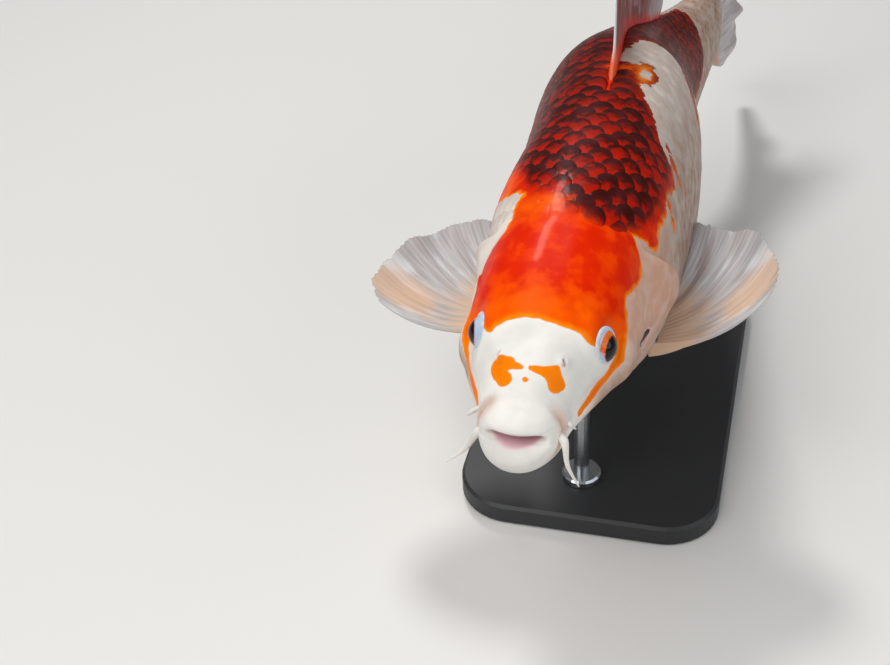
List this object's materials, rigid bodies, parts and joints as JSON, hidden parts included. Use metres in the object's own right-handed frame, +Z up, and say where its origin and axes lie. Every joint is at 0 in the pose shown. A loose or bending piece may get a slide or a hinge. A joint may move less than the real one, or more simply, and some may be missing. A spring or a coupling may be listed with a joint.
{
  "type": "koi carp model",
  "caption": "Life-size still model of a koi carp swimming nose up with its mouth a little open, held over a flat base by short rods.",
  "frame": {"origin": "centre of the underside of the stand's base", "axes": "+Z up, the fish heads towards -Y, its left side is +X"},
  "size_m": [0.1919, 0.5716, 0.251],
  "materials": {
    "skin": "wet satin, white with orange-red markings",
    "fin": "thin satin membrane over ribs",
    "eye": "polished",
    "base": "matt black",
    "rod": "brushed"
  },
  "bodies": {
    "root": {"head": "skin", "upper_jaw": "skin", "lower_jaw": "skin", "gill_cover_left": "skin", "gill_cover_right": "skin", "trunk": "skin", "tail_stalk": "skin", "barbel_long_left": "skin", "barbel_long_right": "skin", "barbel_short_left": "skin", "barbel_short_right": "skin", "dorsal_fin": "fin", "anal_fin": "fin", "caudal_fin_upper": "fin", "caudal_fin_lower": "fin", "pectoral_fin_left": "fin", "pectoral_fin_right": "fin", "pelvic_fin_left": "fin", "pelvic_fin_right": "fin", "eye_left": "eye", "eye_right": "eye", "stand_base": "base", "stand_rod_front": "rod", "stand_rod_rear": "rod"}
  },
  "joints": []
}
